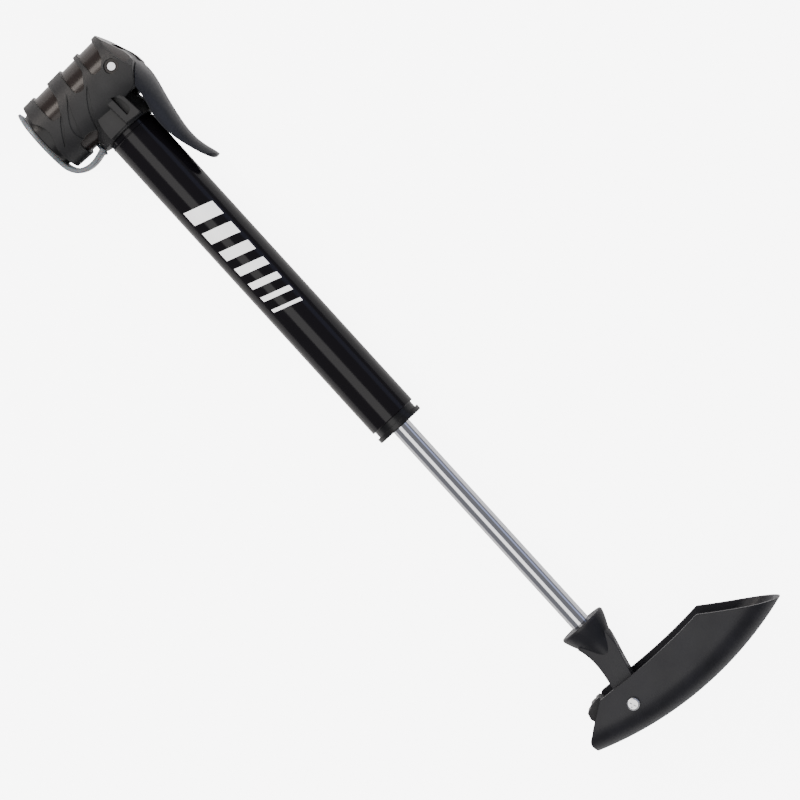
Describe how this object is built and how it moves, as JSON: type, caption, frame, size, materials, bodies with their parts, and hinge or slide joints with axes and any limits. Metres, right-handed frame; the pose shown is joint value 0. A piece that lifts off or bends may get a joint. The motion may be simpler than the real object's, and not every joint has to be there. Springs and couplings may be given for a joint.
{
  "type": "double action hand pump",
  "caption": "Double action hand pump for tyres with a thumb-lock valve head, telescoping rod and a folding channel-shaped handle.",
  "frame": {"origin": "on the barrel's axis, at the plane where the barrel leaves the head", "axes": "+X along the barrel from the head to the handle; the valve mouth opens towards -Y and the thumb lever lies on the +Y side; the lever pin and the handle's hinge lie along Z"},
  "size_m": [0.3737, 0.1019, 0.0368],
  "materials": {
    "barrel_aluminium": "gloss black anodised aluminium tube",
    "head_nylon": "charcoal glass-filled nylon, fine moulded texture",
    "handle_nylon": "charcoal nylon, satin moulded",
    "latch_nylon": "black nylon, satin",
    "gland_plastic": "black acetal, satin",
    "collar_plastic": "black plastic, satin",
    "soft_vinyl": "translucent grey soft vinyl",
    "grommet_rubber": "black rubber, matt",
    "nitrile": "black nitrile rubber",
    "acetal": "natural white acetal",
    "brass_tube": "drawn brass tube",
    "spring_steel": "bright spring wire",
    "bright_steel": "zinc plated steel",
    "chromed_steel": "hard chromed steel tube, polished"
  },
  "bodies": {
    "barrel": {"barrel_tube": "barrel_aluminium", "gland_nut": "gland_plastic", "gland_o_ring": "nitrile", "rod_bush": "acetal", "lip_seal": "nitrile", "wiper_ring": "gland_plastic", "valve_block": "acetal", "block_o_ring": "nitrile", "inlet_flap": "nitrile", "delivery_tube": "brass_tube", "pull_check_spring": "spring_steel", "push_check_spring": "spring_steel", "head_body": "head_nylon", "lever_pin": "bright_steel", "mouth_collar": "collar_plastic", "valve_grommet": "grommet_rubber", "strap_root": "soft_vinyl"},
    "pull_ball": {"pull_check_ball": "bright_steel"},
    "push_ball": {"push_check_ball": "bright_steel"},
    "plunger": {"plunger": "acetal", "plunger_o_ring": "nitrile", "core_pin": "acetal"},
    "lever": {"lever": "head_nylon"},
    "dust_cap": {"dust_cap": "soft_vinyl"},
    "piston": {"piston": "acetal", "piston_cap": "acetal", "inner_seal": "nitrile", "piston_seal": "nitrile", "wear_ring": "acetal"},
    "rod": {"piston_rod": "chromed_steel", "rod_clip": "spring_steel", "bump_washer": "nitrile", "rod_plug": "bright_steel", "handle_stem": "handle_nylon", "stem_pin": "bright_steel"},
    "handle": {"handle_shell": "handle_nylon", "hinge_sleeve": "bright_steel", "hinge_screw": "bright_steel", "hinge_washers": "acetal", "latch_pin": "bright_steel", "latch_spring": "spring_steel"},
    "latch": {"latch": "latch_nylon"}
  },
  "joints": [
    {"name": "rod_slide", "type": "slide", "parent": "barrel", "child": "piston", "axis": [1, 0, 0], "range_m": [-0.11, 0]},
    {"name": "rod_spin", "type": "hinge", "parent": "piston", "child": "rod", "pos_m": [0.124, 0, 0], "axis": [1, 0, 0], "continuous": true},
    {"name": "handle_fold", "type": "hinge", "parent": "rod", "child": "handle", "pos_m": [0.3181, -0.0047, 0], "axis": [0, 0, 1], "range_deg": [0, 80]},
    {"name": "lever_lock", "type": "hinge", "parent": "barrel", "child": "lever", "pos_m": [-0.0236, 0.0139, 0], "axis": [0, 0, 1], "range_deg": [0, 75]},
    {"name": "plunger_slide", "type": "slide", "parent": "barrel", "child": "plunger", "axis": [0, -1, 0], "range_m": [0, 0.002], "deforming": ["valve_grommet"]},
    {"name": "cap_hinge", "type": "hinge", "parent": "barrel", "child": "dust_cap", "pos_m": [-0.008, -0.0321, 0], "axis": [0, 0, 1], "range_deg": [0, 100], "stiffness_Nm_per_rad": 0.002},
    {"name": "latch_rock", "type": "hinge", "parent": "handle", "child": "latch", "pos_m": [0.3176, -0.0187, 0], "axis": [0, 0, 1], "range_deg": [0, 8], "stiffness_Nm_per_rad": 0.01, "deforming": ["latch_spring"]},
    {"name": "pull_check_lift", "type": "slide", "parent": "barrel", "child": "pull_ball", "axis": [-1, 0, 0], "range_m": [0, 0.0008], "stiffness_N_per_m": 20, "deforming": ["pull_check_spring"]},
    {"name": "push_check_lift", "type": "slide", "parent": "barrel", "child": "push_ball", "axis": [-1, 0, 0], "range_m": [0, 0.0008], "stiffness_N_per_m": 20, "deforming": ["push_check_spring"]}
  ],
  "couplings": [
    {"joint": "plunger_slide", "follows": "lever_lock", "m_per_rad": 0.0015277}
  ]
}
